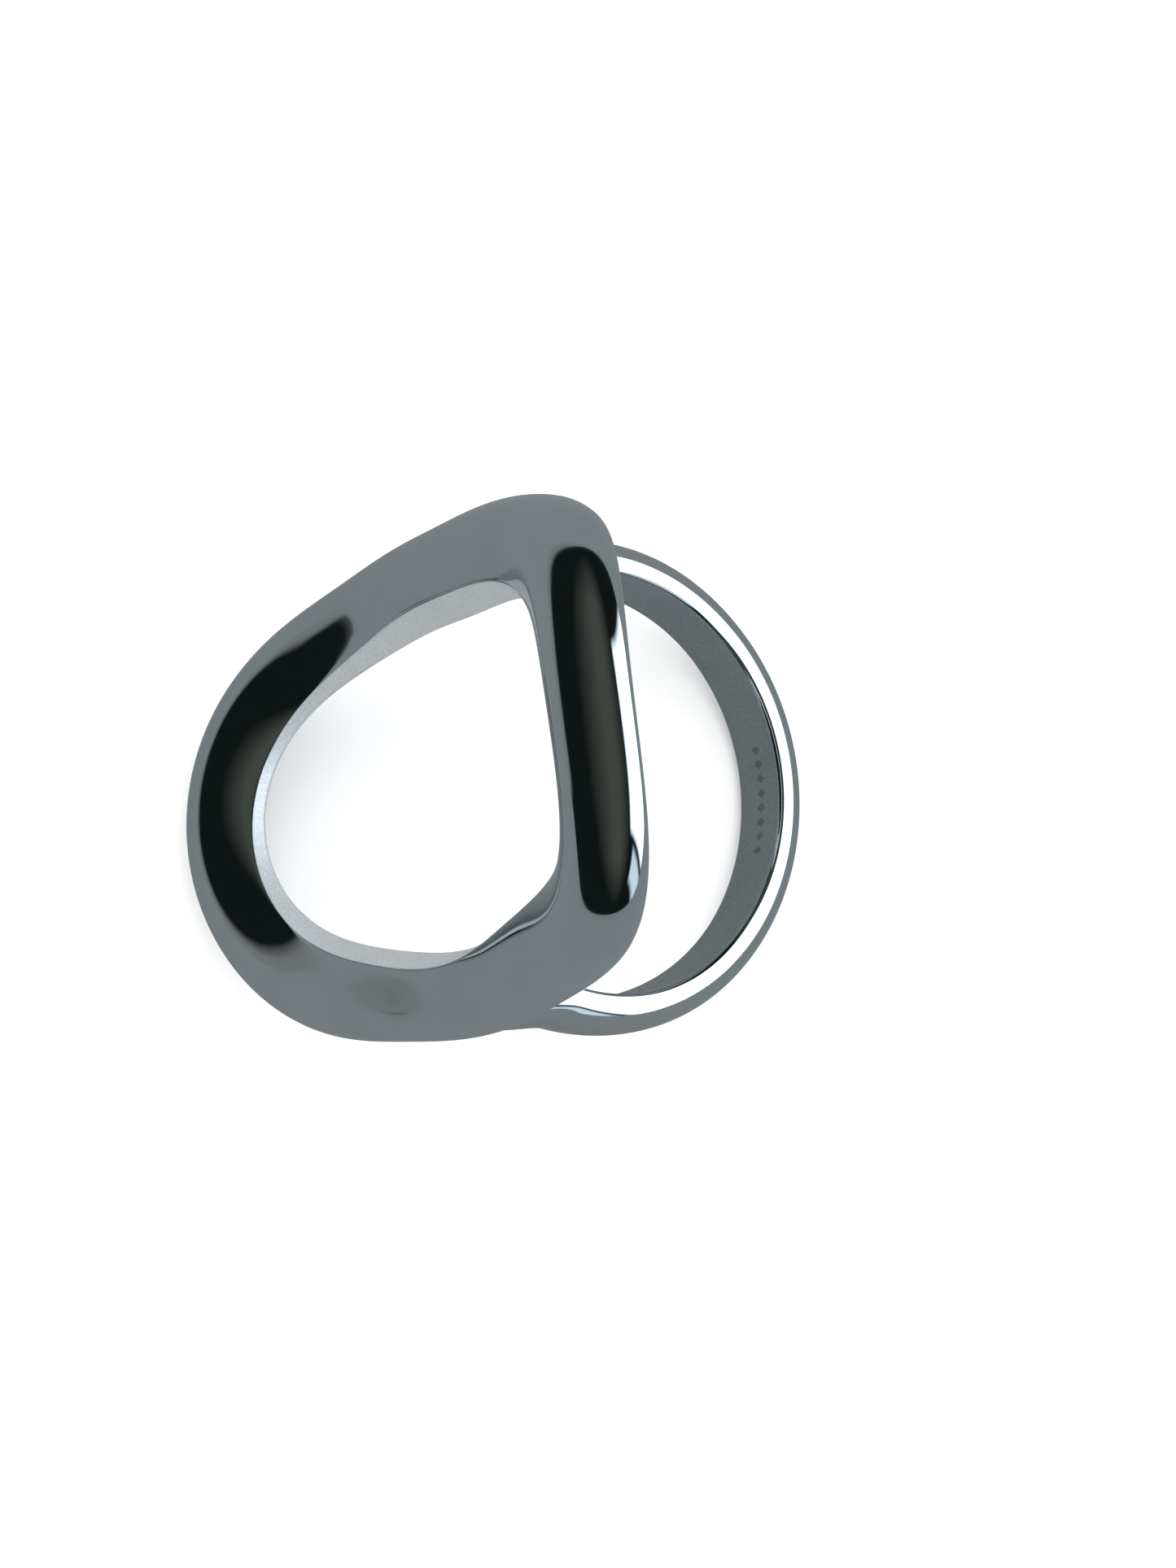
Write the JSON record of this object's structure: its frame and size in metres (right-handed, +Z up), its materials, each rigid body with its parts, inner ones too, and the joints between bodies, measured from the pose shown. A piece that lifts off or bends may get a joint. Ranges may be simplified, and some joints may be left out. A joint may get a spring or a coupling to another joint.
{
  "type": "finger ring",
  "caption": "Polished steel finger ring: a half-round band whose two ends run into a wide openwork pear-shaped loop that curves over the finger.",
  "frame": {"origin": "the middle of the ring's bounding box, on the table that the ring lies on", "axes": "+Z up from the table. The ring lies on the loop's far limb and the back of the band; its finger bore points up along (0.517, 0.056, 0.855), and its openwork front faces -X and up"},
  "size_m": [0.0262, 0.0208, 0.0255],
  "materials": {
    "polished_steel": "mirror-polished stainless steel with fine wear scratches",
    "band_steel": "stainless steel, polished outside with a satin inner wall"
  },
  "bodies": {
    "root": {"band": "band_steel", "front_loop": "polished_steel"}
  },
  "joints": []
}
